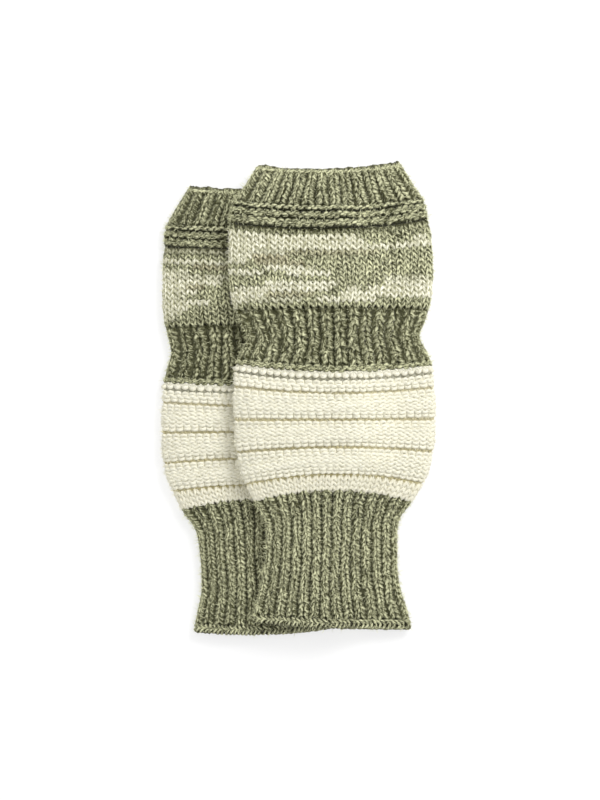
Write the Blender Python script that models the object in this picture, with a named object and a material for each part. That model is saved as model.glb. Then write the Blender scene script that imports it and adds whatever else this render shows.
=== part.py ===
"""Pair of knitted fingerless gloves, laid flat, one glove lying half over the other.

Each glove is a flattened knitted tube, open at both ends. It is made of bands, from
the finger edge to the cuff: a finger rib, two purl welts, a marled hand, a wrist
rib, a cream arm with welts, a cuff rib and a bound-off edge. Every band is a wall
lofted through rings. The ribs and welts are raised in its outer points, its inside
is plain, and its underside is flat where it rests.

Metres, +Z up, +Y towards the fingers, origin on the floor under the pair's centre.
"""

import math
from collections import namedtuple

import bmesh
import bpy
import numpy as np

MM = 0.001

# Driving dimensions, in millimetres.
UPPER_FINGER_EDGE = (17.52, 123.48)  # centre of the upper glove's finger edge, x and y
LOWER_FINGER_EDGE = (-18.08, 113.38)
UPPER_STRETCH = 1.003  # length of a glove against the band table
LOWER_STRETCH = 0.987
WALL = 3.4  # two strands of yarn deep
SLIT = 0.8  # least height left between the front and the back of a glove
SEAM = 0.3  # gap between two bands
CLEARANCE = 0.9  # between the lower glove's top and the upper glove's underside
LOW_SHARE = 0.43  # share of a section's height that is below its side fold
CROWN = 3.0  # exponent of the upper half's curve: 2 is an ellipse, more is flatter

# How the upper glove comes down off the lower one.
DROOP_START = 8.0  # inside the lower glove's right side
DROOP_END = 20.0  # outside it
SAG_SHARE = 0.3  # of the height, lost past the lower glove's finger edge
SAG_LENGTH = 12.0

STITCHES_ACROSS = 28  # on the front, and as many on the back
RIB_STITCHES = 2  # one knit and one purl

# Points round an outer ring, as shares of the front and of the back.
RIB_POINTS = (0.0, 0.26, 0.5, 0.74)  # across one rib, from trough to trough
RIB_DEPTHS = (1.0, 0.18, 0.0, 0.18)  # how far each of them sinks, as a share
PLAIN_FRONT_POINTS = 28
BACK_POINTS = 14
INNER_FRONT_POINTS = 16
INNER_BACK_POINTS = 10
EDGE_POINTS_ACROSS = 8  # round the bound-off edge's own section
EDGE_RADIUS = 2.0
FOLD_CROWDING = 0.62  # 1 spaces the back's points evenly, less moves them to the folds
OUTLINE_SAMPLES = 121

# A glove's flattened section at a distance from the finger edge. bow is how far the
# sides of a course lie above its centre, lean how far its right side is above, and
# drop how far the whole course lies below its place in an evenly stretched glove.
Section = namedtuple("Section", "run half_width loft bow lean shift drop")
UPPER_SECTIONS = (
    Section(0.0, 38.8, 7.8, 3.2, 1.1, -1.3, 0.0),
    Section(10.1, 45.0, 8.4, 3.4, 1.1, -1.3, 0.1),
    Section(21.8, 52.1, 8.8, 4.4, 0.9, -1.3, 0.4),
    Section(31.4, 53.9, 8.8, 4.2, 1.4, -1.0, 0.4),
    Section(42.0, 54.7, 9.2, 2.9, 0.8, -0.3, 0.3),
    Section(55.3, 54.9, 9.4, 1.3, 0.3, 0.0, 0.1),
    Section(70.8, 53.2, 9.0, -0.6, 0.4, 0.4, 0.0),
    Section(79.0, 50.2, 8.8, -1.2, 0.6, 1.0, 0.0),
    Section(88.8, 46.9, 9.0, 0.2, 0.5, 1.3, 0.0),
    Section(99.0, 50.4, 9.2, 2.6, -0.2, 1.6, 0.0),
    Section(106.9, 53.0, 9.8, 3.8, -0.4, 1.4, 0.0),
    Section(118.6, 54.2, 10.5, 3.2, -0.3, 1.6, 0.0),
    Section(132.2, 54.2, 10.7, 0.2, 0.2, 2.0, 0.0),
    Section(146.8, 53.2, 10.6, -2.6, 0.1, 2.0, 0.0),
    Section(161.7, 48.0, 10.0, -5.6, 0.0, 1.8, 0.0),
    Section(169.7, 42.8, 9.4, -6.6, -0.3, 1.1, 0.0),
    Section(180.3, 37.2, 9.0, -4.3, 0.0, 0.7, 0.0),
    Section(199.0, 35.6, 8.8, -1.6, 0.0, 0.3, 0.0),
    Section(222.9, 38.0, 8.6, 0.6, -0.6, -0.3, 0.0),
    Section(238.3, 42.0, 8.4, 0.8, -1.9, 0.6, 0.0),
    Section(243.7, 42.2, 8.2, 0.6, -2.4, 0.8, 0.0),
)
LOWER_SECTIONS = (
    Section(0.0, 39.3, 7.6, 1.9, 0.0, -2.0, 0.8),
    Section(10.1, 46.4, 8.3, 1.6, 0.0, -1.5, 1.2),
    Section(21.8, 53.1, 8.6, 1.6, 0.0, -0.9, 1.6),
    Section(31.4, 54.1, 8.6, 1.6, 0.0, -0.5, 1.6),
    Section(42.0, 54.7, 8.8, 1.6, 0.0, -0.2, 1.3),
    Section(55.3, 55.0, 9.0, 0.8, 0.0, 0.0, 0.8),
    Section(70.8, 54.2, 8.8, -1.4, 0.0, 0.0, -0.1),
    Section(79.0, 52.3, 8.8, -1.2, 0.0, 0.0, -0.3),
    Section(88.8, 50.6, 8.8, 0.2, 0.0, 0.0, -0.5),
    Section(99.0, 52.8, 9.0, 1.4, 0.0, 0.0, -0.7),
    Section(106.9, 54.6, 9.4, 2.0, 0.0, 0.0, -0.9),
    Section(118.6, 55.4, 10.0, 1.9, 0.0, 0.0, -1.2),
    Section(132.2, 55.6, 10.2, -0.3, 0.0, 0.0, -1.3),
    Section(146.8, 54.7, 10.0, -2.8, 0.0, 0.0, -1.6),
    Section(161.7, 49.8, 9.5, -3.8, 0.0, 0.0, -1.8),
    Section(169.7, 45.2, 9.1, -6.4, 0.0, 0.1, -2.6),
    Section(180.3, 39.1, 8.7, -4.4, 0.0, 0.4, -2.6),
    Section(199.0, 35.2, 8.4, -1.4, 0.0, 0.2, -2.5),
    Section(222.9, 35.7, 8.2, 0.6, 0.0, 1.1, -2.3),
    Section(238.3, 38.9, 8.0, 2.4, 1.2, 1.4, -2.2),
    Section(243.7, 39.3, 8.0, 2.6, 1.6, 1.4, -2.2),
)

# Rows of rings along each band. sink is how far the whole ring lies under the
# outline, and rib how far the troughs between ribs lie under it besides.
Row = namedtuple("Row", "run sink rib")
FINGER_RIB = (
    Row(0.0, 1.0, 0.9),
    Row(1.6, 0.0, 1.8),
    Row(9.0, 0.0, 1.9),
    Row(16.6, 0.2, 1.6),
    Row(19.2, 0.1, 0.5),
    Row(21.7, 1.3, 0.0),
)
MARLED_HAND = (
    Row(30.7, 1.4, 0.0),
    Row(33.4, 0.1, 0.0),
    Row(46.0, 0.0, 0.0),
    Row(60.0, 0.0, 0.0),
    Row(69.6, 0.1, 0.0),
    Row(72.4, 1.2, 0.0),
)
WRIST_RIB = (
    Row(72.4, 1.6, 0.5),
    Row(75.6, 0.4, 2.0),
    Row(84.0, 0.2, 2.2),
    Row(92.0, 0.2, 2.2),
    Row(101.4, 0.3, 2.0),
    Row(104.4, 0.6, 0.6),
    Row(106.8, 1.3, 0.0),
)
CUFF_RIB = (
    Row(169.8, 1.2, 0.6),
    Row(173.0, 0.2, 1.6),
    Row(181.0, 0.0, 1.8),
    Row(199.0, 0.0, 1.8),
    Row(216.0, 0.0, 1.8),
    Row(230.0, 0.0, 1.7),
    Row(236.2, 0.3, 1.2),
    Row(238.4, 1.1, 0.5),
)
CUFF_EDGE = (238.4, 243.7)

# Grooves between the purl welts, as runs, and how deep they are.
FINGER_WELT_GROOVES = (21.7, 25.9, 30.7)
FINGER_WELT_DEPTH = 1.5
CREAM_GROOVES = (106.8, 110.7, 118.1, 132.5, 146.9, 161.6)
CREAM_WELT_DEPTH = 1.5
WELT_SHOULDERS = (0.3, 0.7)  # where a welt reaches its full height, as shares
CREAM_END_ROWS = (Row(164.4, 0.2, 0.0), Row(169.8, 1.0, 0.0))

# Yarn colours, as linear red, green and blue, and how rough the wool is.
OLIVE = (0.238, 0.246, 0.142)
MARLED = (0.448, 0.442, 0.310)
CREAM = (0.835, 0.810, 0.640)
WOOL_ROUGHNESS = 0.9


def clear_scene():
    for obj in list(bpy.data.objects):
        bpy.data.objects.remove(obj, do_unlink=True)


def smooth_step(t):
    t = np.clip(t, 0.0, 1.0)
    return t * t * (3.0 - 2.0 * t)


def smooth_column(xs, ys, x):
    """A smooth curve through the points (xs, ys), read at x."""
    xs, ys = np.asarray(xs, float), np.asarray(ys, float)
    slopes = np.gradient(ys, xs)
    x = np.clip(x, xs[0], xs[-1])
    i = np.clip(np.searchsorted(xs, x, side="right") - 1, 0, len(xs) - 2)
    step = xs[i + 1] - xs[i]
    t = (x - xs[i]) / step
    before, after = slopes[i] * step, slopes[i + 1] * step
    return (
        ys[i] * (2 * t**3 - 3 * t**2 + 1)
        + before * (t**3 - 2 * t**2 + t)
        + ys[i + 1] * (3 * t**2 - 2 * t**3)
        + after * (t**3 - t**2)
    )


def half_outline(half_width, loft, is_front):
    """Points and outward normals of one half of a flattened section, as x and z.

    The front runs from the left fold over the top to the right fold. The back runs
    on from there along the flat underside to the left fold.
    """
    low, high = loft * LOW_SHARE, loft * (1.0 - LOW_SHARE)
    if is_front:
        turn = np.linspace(math.pi, 0.0, OUTLINE_SAMPLES)
        across, up = np.cos(turn), np.sin(turn)
        x = half_width * np.sign(across) * np.abs(across) ** (2.0 / CROWN)
        z = low + high * np.abs(up) ** (2.0 / CROWN)
    else:
        turn = np.linspace(0.0, math.pi / 2, OUTLINE_SAMPLES // 4)
        right_x = half_width - low + low * np.cos(turn)
        right_z = low - low * np.sin(turn)
        flat_x = np.linspace(right_x[-1], -right_x[-1], OUTLINE_SAMPLES)[1:-1]
        x = np.concatenate([right_x, flat_x, -right_x[::-1]])
        z = np.concatenate([right_z, np.zeros(len(flat_x)), right_z[::-1]])
    points = np.stack([x, z], axis=1)
    tangent = np.gradient(points, axis=0)
    tangent /= np.maximum(np.linalg.norm(tangent, axis=1, keepdims=True), 1e-9)
    normal = np.stack([-tangent[:, 1], tangent[:, 0]], axis=1)
    return points, normal


def at_shares(points, normal, shares):
    """The half outline's points and normals at shares of its length."""
    steps = np.linalg.norm(np.diff(points, axis=0), axis=1)
    along = np.concatenate([[0.0], np.cumsum(steps)])
    want = np.asarray(shares) * along[-1]
    place = np.stack([np.interp(want, along, points[:, k]) for k in (0, 1)], axis=1)
    facing = np.stack([np.interp(want, along, normal[:, k]) for k in (0, 1)], axis=1)
    return place, facing


class Glove:
    """One flattened glove: its sections, where it lies, and what is under it."""

    def __init__(self, name, sections, finger_edge, stretch, under=None):
        self.name = name
        self.finger_edge = finger_edge
        self.stretch = stretch
        self.under = under
        self.columns = {
            field: [getattr(s, field) for s in sections] for field in Section._fields
        }

    def read(self, field, run):
        return smooth_column(self.columns["run"], self.columns[field], run)

    def centre_y(self, run):
        return self.finger_edge[1] - run * self.stretch - self.read("drop", run)

    def run_at(self, y):
        """The run whose course has its centre at y."""
        even = (self.finger_edge[1] - y) / self.stretch
        return even - self.read("drop", even) / self.stretch

    def right_side(self, y):
        run = self.run_at(y)
        return (
            self.finger_edge[0] + self.read("shift", run) + self.read("half_width", run)
        )

    def floor_under(self, x, y):
        """Height of what the glove rests on: the other glove, or the floor."""
        if self.under is None:
            return np.zeros_like(x)
        top = self.under.read("loft", self.under.run_at(y)) + CLEARANCE
        side = self.under.right_side(y) - DROOP_START
        droop = smooth_step((x - side) / (DROOP_START + DROOP_END))
        past = y - self.under.centre_y(0.0)
        sag = SAG_SHARE * smooth_step(past / SAG_LENGTH)
        return top * (1.0 - droop) * (1.0 - sag)

    def placed(self, run, section_x, section_z):
        """A section's x and z in the pair's frame, bowed and leant as the course is."""
        share = section_x / self.read("half_width", run)
        x = self.finger_edge[0] + self.read("shift", run) + section_x
        y = (
            self.centre_y(run)
            + self.read("bow", run) * share**2
            + self.read("lean", run) * share
        )
        z = section_z + self.floor_under(x, y)
        return np.stack([x, y, z], axis=1) * MM

    def outer_ring(self, run, front, back, front_sink, back_sink):
        """Points of the outside at run. The underside keeps flat: its sink fades."""
        half_width, loft = self.read("half_width", run), self.read("loft", run)
        low = loft * LOW_SHARE
        place, facing = at_shares(*half_outline(half_width, loft, True), front)
        place = place - facing * np.asarray(front_sink)[:, None]
        under, out = at_shares(*half_outline(half_width, loft, False), back)
        fade = np.clip(under[:, 1] / low, 0.0, 1.0) ** 2
        under = under - out * (back_sink * fade)[:, None]
        ring = np.concatenate([place, under])
        return self.placed(run, ring[:, 0], ring[:, 1])

    def inner_ring(self, run, front, back):
        half_width, loft = self.read("half_width", run), self.read("loft", run)
        wall = min(WALL, (loft - SLIT) / 2)
        over, _ = at_shares(
            *half_outline(half_width - wall, loft - 2 * wall, True), front
        )
        under, _ = at_shares(
            *half_outline(half_width - wall, loft - 2 * wall, False), back
        )
        ring = np.concatenate([over, under])
        return self.placed(run, ring[:, 0], ring[:, 1] + wall)


def front_shares(is_ribbed):
    """Ring points across the front, and how much of the rib depth each sinks."""
    if not is_ribbed:
        return np.arange(PLAIN_FRONT_POINTS) / PLAIN_FRONT_POINTS, np.zeros(
            PLAIN_FRONT_POINTS
        )
    ribs = STITCHES_ACROSS // RIB_STITCHES
    shares = [(k + p) / ribs for k in range(ribs) for p in RIB_POINTS]
    depths = [d for _ in range(ribs) for d in RIB_DEPTHS]
    return np.array(shares), np.array(depths)


def back_shares(count):
    """Points along the back, closer together round the two side folds."""
    even = np.arange(count) / count
    return 0.5 - 0.5 * np.sign(0.5 - even) * np.abs(1 - 2 * even) ** FOLD_CROWDING


def add_ring(mesh, points):
    return [mesh.verts.new(p) for p in points]


def skin(mesh, first, second):
    """Quads between two rings of the same count."""
    count = len(first)
    for k in range(count):
        n = (k + 1) % count
        mesh.faces.new((first[k], first[n], second[n], second[k]))


def zip_cap(mesh, outer, inner, outer_shares, inner_shares, is_flipped):
    """Triangles that close the wall's end between an outer and an inner ring."""
    outer_at = np.append(outer_shares, outer_shares[0] + 2.0)
    inner_at = np.append(inner_shares, inner_shares[0] + 2.0)
    i = j = 0
    while i < len(outer) or j < len(inner):
        step_outer = j == len(inner) or (
            i < len(outer) and outer_at[i + 1] <= inner_at[j + 1]
        )
        a, b = outer[i % len(outer)], inner[j % len(inner)]
        if step_outer:
            corners = (a, b, outer[(i + 1) % len(outer)])
            i += 1
        else:
            corners = (a, b, inner[(j + 1) % len(inner)])
            j += 1
        mesh.faces.new(corners[::-1] if is_flipped else corners)


def object_from(mesh, name, collection, material):
    bmesh.ops.recalc_face_normals(mesh, faces=mesh.faces)
    data = bpy.data.meshes.new(name)
    mesh.to_mesh(data)
    mesh.free()
    data.shade_smooth()
    data.set_sharp_from_angle(angle=math.radians(60))
    obj = bpy.data.objects.new(name, data)
    obj.data.materials.append(material)
    collection.objects.link(obj)
    return obj


def within_seams(rows):
    """The rows, with the first and the last drawn in by half a seam."""
    first = rows[0]._replace(run=rows[0].run + SEAM / 2)
    last = rows[-1]._replace(run=rows[-1].run - SEAM / 2)
    return (first, *rows[1:-1], last)


def welt_rows(grooves, depth):
    """Rows for rounded welts: a groove, two shoulders, a groove, and so on."""
    rows = []
    for start, end in zip(grooves[:-1], grooves[1:]):
        rows.append(Row(start, depth, 0.0))
        for share in WELT_SHOULDERS:
            rows.append(Row(start + share * (end - start), 0.0, 0.0))
    rows.append(Row(grooves[-1], depth, 0.0))
    return rows


def make_band(glove, name, rows, is_ribbed, collection, material):
    """A knitted band: an outer skin in relief, a plain inside, and two ends."""
    rows = within_seams(rows)
    front, rib_share = front_shares(is_ribbed)
    back = back_shares(BACK_POINTS)
    inner_front = np.arange(INNER_FRONT_POINTS) / INNER_FRONT_POINTS
    inner_back = back_shares(INNER_BACK_POINTS)
    mesh = bmesh.new()

    outer = []
    for row in rows:
        back_sink = np.full(len(back), row.sink + 0.5 * row.rib)
        front_sink = row.sink + row.rib * rib_share
        ring = glove.outer_ring(row.run, front, back, front_sink, back_sink)
        outer.append(add_ring(mesh, ring))
    inner_runs = np.linspace(rows[0].run, rows[-1].run, max(2, (len(rows) + 1) // 2))
    inner = [
        add_ring(mesh, glove.inner_ring(run, inner_front, inner_back))
        for run in inner_runs
    ]
    for first, second in zip(outer[:-1], outer[1:]):
        skin(mesh, first, second)
    for first, second in zip(inner[:-1], inner[1:]):
        skin(mesh, second, first)

    outer_shares = np.concatenate([front, 1.0 + back])
    inner_shares = np.concatenate([inner_front, 1.0 + inner_back])
    zip_cap(mesh, outer[0], inner[0], outer_shares, inner_shares, False)
    zip_cap(mesh, outer[-1], inner[-1], outer_shares, inner_shares, True)
    return object_from(mesh, f"{glove.name}_{name}", collection, material)


def make_edge(glove, name, start, end, collection, material):
    """The bound-off edge: a soft roll that runs all round the cuff's opening."""
    run = (start + SEAM / 2 + end) / 2
    half_length = (end - start - SEAM / 2) / 2
    half_width, loft = glove.read("half_width", run), glove.read("loft", run)
    front = np.arange(PLAIN_FRONT_POINTS) / PLAIN_FRONT_POINTS
    back = back_shares(BACK_POINTS)
    inset = EDGE_RADIUS
    mesh = bmesh.new()
    turns = np.arange(EDGE_POINTS_ACROSS) * 2 * math.pi / EDGE_POINTS_ACROSS
    rings = []
    for turn in turns:
        rise = inset * math.cos(turn)
        ahead = half_length * math.sin(turn)
        size = half_width - inset + rise, loft - 2 * inset + 2 * rise
        over, _ = at_shares(*half_outline(*size, True), front)
        under, _ = at_shares(*half_outline(*size, False), back)
        ring = np.concatenate([over, under])
        height = ring[:, 1] + inset - rise
        rings.append(add_ring(mesh, glove.placed(run + ahead, ring[:, 0], height)))
    for k, ring in enumerate(rings):
        skin(mesh, ring, rings[(k + 1) % len(rings)])
    return object_from(mesh, f"{glove.name}_{name}", collection, material)


def make_material(name, colour):
    material = bpy.data.materials.new(name)
    material.use_nodes = True
    shader = material.node_tree.nodes["Principled BSDF"]
    shader.inputs["Base Color"].default_value = (*colour, 1.0)
    shader.inputs["Roughness"].default_value = WOOL_ROUGHNESS
    shader.inputs["Metallic"].default_value = 0.0
    return material


def make_glove(glove, collection, olive, marled, cream):
    finger_welts = welt_rows(FINGER_WELT_GROOVES, FINGER_WELT_DEPTH)
    cream_arm = welt_rows(CREAM_GROOVES, CREAM_WELT_DEPTH) + list(CREAM_END_ROWS)
    make_band(glove, "finger_rib", FINGER_RIB, True, collection, olive)
    make_band(glove, "finger_welts", finger_welts, False, collection, olive)
    make_band(glove, "marled_hand", MARLED_HAND, False, collection, marled)
    make_band(glove, "wrist_rib", WRIST_RIB, True, collection, olive)
    make_band(glove, "cream_arm", cream_arm, False, collection, cream)
    make_band(glove, "cuff_rib", CUFF_RIB, True, collection, olive)
    make_edge(glove, "cuff_edge", *CUFF_EDGE, collection, olive)


def main():
    clear_scene()
    collection = bpy.data.collections.new("fingerless_gloves")
    bpy.context.scene.collection.children.link(collection)
    olive = make_material("olive_yarn", OLIVE)
    marled = make_material("marled_yarn", MARLED)
    cream = make_material("cream_yarn", CREAM)
    lower = Glove("lower", LOWER_SECTIONS, LOWER_FINGER_EDGE, LOWER_STRETCH)
    upper = Glove("upper", UPPER_SECTIONS, UPPER_FINGER_EDGE, UPPER_STRETCH, lower)
    for glove in (lower, upper):
        make_glove(glove, collection, olive, marled, cream)


main()
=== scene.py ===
"""A pair of knitted fingerless gloves, laid flat, one lying half over the other.

Each glove is knitted in the round from the finger edge down. Every stitch that shows
is a loop of yarn, swept along its course over a thin backing cloth, which closes the
glove's underside and its inside. Lengths are in millimetres until a mesh is made.
"""

import math
from collections import namedtuple

import bpy
import numpy as np
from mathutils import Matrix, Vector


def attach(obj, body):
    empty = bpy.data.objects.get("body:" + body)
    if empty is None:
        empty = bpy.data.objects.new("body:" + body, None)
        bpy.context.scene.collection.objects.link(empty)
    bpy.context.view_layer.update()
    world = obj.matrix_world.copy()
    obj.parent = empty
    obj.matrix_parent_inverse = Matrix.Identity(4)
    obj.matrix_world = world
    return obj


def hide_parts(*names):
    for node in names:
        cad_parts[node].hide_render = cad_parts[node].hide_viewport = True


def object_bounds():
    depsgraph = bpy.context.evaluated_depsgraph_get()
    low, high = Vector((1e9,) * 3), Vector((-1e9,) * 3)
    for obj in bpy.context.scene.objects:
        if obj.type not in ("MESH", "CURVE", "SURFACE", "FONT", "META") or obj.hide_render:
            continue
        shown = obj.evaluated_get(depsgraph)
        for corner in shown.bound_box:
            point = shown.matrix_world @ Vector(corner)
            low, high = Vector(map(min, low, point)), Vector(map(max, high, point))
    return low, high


bl_info = {
    "name": "Knitted Fingerless Gloves",
    "version": (1, 0, 0),
    "blender": (4, 5, 0),
    "location": "View3D > Sidebar > Gloves",
    "description": "Knits a pair of fingerless gloves, stitch by stitch",
    "category": "Add Mesh",
}

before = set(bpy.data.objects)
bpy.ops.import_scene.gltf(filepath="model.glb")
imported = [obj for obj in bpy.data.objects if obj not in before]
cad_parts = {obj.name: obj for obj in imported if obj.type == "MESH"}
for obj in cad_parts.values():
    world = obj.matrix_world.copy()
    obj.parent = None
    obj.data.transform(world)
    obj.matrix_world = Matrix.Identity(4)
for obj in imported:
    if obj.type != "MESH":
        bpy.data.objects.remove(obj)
PACKED_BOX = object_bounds()

MM = 0.001

# The gloves' places and proportions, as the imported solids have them.
UPPER_FINGER_EDGE = (17.52, 123.48)
LOWER_FINGER_EDGE = (-18.08, 113.38)
UPPER_STRETCH = 1.003
LOWER_STRETCH = 0.987
WALL = 3.4
SLIT = 0.8  # the least space between a glove's front and its back
CLEARANCE = 0.9  # between the two gloves
LOW_SHARE = 0.43  # share of a section's height that is below its side fold
CROWN = 3.0  # exponent of the upper half's curve
# The upper glove droops from this far inside the lower one's side to this far outside.
DROOP_START = 8.0
DROOP_END = 20.0
# Past the lower one's finger edge it sags by a share of that glove's height.
SAG_SHARE = 0.3
SAG_LENGTH = 12.0
SEAM = 0.3  # between two bands' cloths
OUTLINE_SAMPLES = 121
CORNER_SAMPLES = 30
RUN_BEFORE, RUN_PAST = 4.0, 5.0  # how far the outline's map goes on past a glove's ends
LOWER_SHADE = 0.2  # how much more painted shade the lower glove's wool gets
# The slow waves of a hand-knitted cloth: their number, their least and most length,
# how often they may turn round a glove, and how far they move its stitches.
DRIFT_WAVES = 6
DRIFT_LENGTHS = (14.0, 60.0)
DRIFT_TURNS = (2, 12)
DRIFT_ALONG = 0.12  # stitches
DRIFT_UP = 0.22

# The gloves' sections, at runs from the finger edge to the cuff edge.
SECTION_RUNS = (
    0.0, 10.1, 21.8, 31.4, 42.0, 55.3, 70.8, 79.0, 88.8, 99.0, 106.9, 118.6,
    132.2, 146.8, 161.7, 169.7, 180.3, 199.0, 222.9, 238.3, 243.7,
)
SECTION_FIELDS = ("half_width", "loft", "bow", "lean", "shift", "drop")
UPPER_SECTIONS = (
    (38.8, 7.8, 3.2, 1.1, -1.3, 0.0),
    (45.0, 8.4, 3.4, 1.1, -1.3, 0.1),
    (52.1, 8.8, 4.4, 0.9, -1.3, 0.4),
    (53.9, 8.8, 4.2, 1.4, -1.0, 0.4),
    (54.7, 9.2, 2.9, 0.8, -0.3, 0.3),
    (54.9, 9.4, 1.3, 0.3, 0.0, 0.1),
    (53.2, 9.0, -0.6, 0.4, 0.4, 0.0),
    (50.2, 8.8, -1.2, 0.6, 1.0, 0.0),
    (46.9, 9.0, 0.2, 0.5, 1.3, 0.0),
    (50.4, 9.2, 2.6, -0.2, 1.6, 0.0),
    (53.0, 9.8, 3.8, -0.4, 1.4, 0.0),
    (54.2, 10.5, 3.2, -0.3, 1.6, 0.0),
    (54.2, 10.7, 0.2, 0.2, 2.0, 0.0),
    (53.2, 10.6, -2.6, 0.1, 2.0, 0.0),
    (48.0, 10.0, -5.6, 0.0, 1.8, 0.0),
    (42.8, 9.4, -6.6, -0.3, 1.1, 0.0),
    (37.2, 9.0, -4.3, 0.0, 0.7, 0.0),
    (35.6, 8.8, -1.6, 0.0, 0.3, 0.0),
    (38.0, 8.6, 0.6, -0.6, -0.3, 0.0),
    (42.0, 8.4, 0.8, -1.9, 0.6, 0.0),
    (42.2, 8.2, 0.6, -2.4, 0.8, 0.0),
)
LOWER_SECTIONS = (
    (39.3, 7.6, 1.9, 0.0, -2.0, 0.8),
    (46.4, 8.3, 1.6, 0.0, -1.5, 1.2),
    (53.1, 8.6, 1.6, 0.0, -0.9, 1.6),
    (54.1, 8.6, 1.6, 0.0, -0.5, 1.6),
    (54.7, 8.8, 1.6, 0.0, -0.2, 1.3),
    (55.0, 9.0, 0.8, 0.0, 0.0, 0.8),
    (54.2, 8.8, -1.4, 0.0, 0.0, -0.1),
    (52.3, 8.8, -1.2, 0.0, 0.0, -0.3),
    (50.6, 8.8, 0.2, 0.0, 0.0, -0.5),
    (52.8, 9.0, 1.4, 0.0, 0.0, -0.7),
    (54.6, 9.4, 2.0, 0.0, 0.0, -0.9),
    (55.4, 10.0, 1.9, 0.0, 0.0, -1.2),
    (55.6, 10.2, -0.3, 0.0, 0.0, -1.3),
    (54.7, 10.0, -2.8, 0.0, 0.0, -1.6),
    (49.8, 9.5, -3.8, 0.0, 0.0, -1.8),
    (45.2, 9.1, -6.4, 0.0, 0.1, -2.6),
    (39.1, 8.7, -4.4, 0.0, 0.4, -2.6),
    (35.2, 8.4, -1.4, 0.0, 0.2, -2.5),
    (35.7, 8.2, 0.6, 0.0, 1.1, -2.3),
    (38.9, 8.0, 2.4, 1.2, 1.4, -2.2),
    (39.3, 8.0, 2.6, 1.6, 1.4, -2.2),
)

STITCHES_ACROSS = 28
STITCHES_ROUND = 2 * STITCHES_ACROSS

# How far round a glove its stitches are worked one by one, past the left side fold
# and past the right one. The rest is backing cloth, which the table or the other
# glove hides.
TURNED_UNDER = 3.5
LOWER_SHOWS = 16.5  # stitches of the lower glove's front that the upper one leaves bare
BARE_AT_FINGERS, BARE_AT_CUFF = 3, 5  # courses of it that are bare all across

# How a kind of stitch is looped. face is the side of the cloth that its legs lie on
# (1 knit, -1 purl, 0 the two in turn), bulge how far its loop bulges, tall how many
# courses tall it is, swing how far it swings through the cloth, tuck how far its open
# end is tucked in, slope how much deeper its closed end lies, start how far along the
# course it starts, and spread how far its legs are spread. In a rib, gather is how much
# wider the knit column is than the purl one, and trough how far the purl one lies under
# it.
Kind = namedtuple(
    "Kind", "face bulge tall swing tuck slope start spread gather trough", defaults=(0.0,) * 6
)
KINDS = {
    "knit": Kind(1, 0.29, 1.75, 1.6, slope=0.1, spread=0.02),
    "purl": Kind(-1, 0.19, 1.55, 0.7),
    "welt": Kind(-1, 0.10, 1.0, 0.3),
    "bead": Kind(-1, 0.02, 1.0, 1.0, tuck=2.6, start=0.5),
    "rib": Kind(0, 0.31, 1.7, 1.7, slope=0.2, spread=0.02, gather=0.9, trough=2.4),
}
RIB_CONTRAST = 0.12  # how much plumper a rib's knit loops are, and its purl ones slimmer
HOLLOW_DEPTH = 2.6  # how far under the outline the wool gets full painted shade
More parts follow.
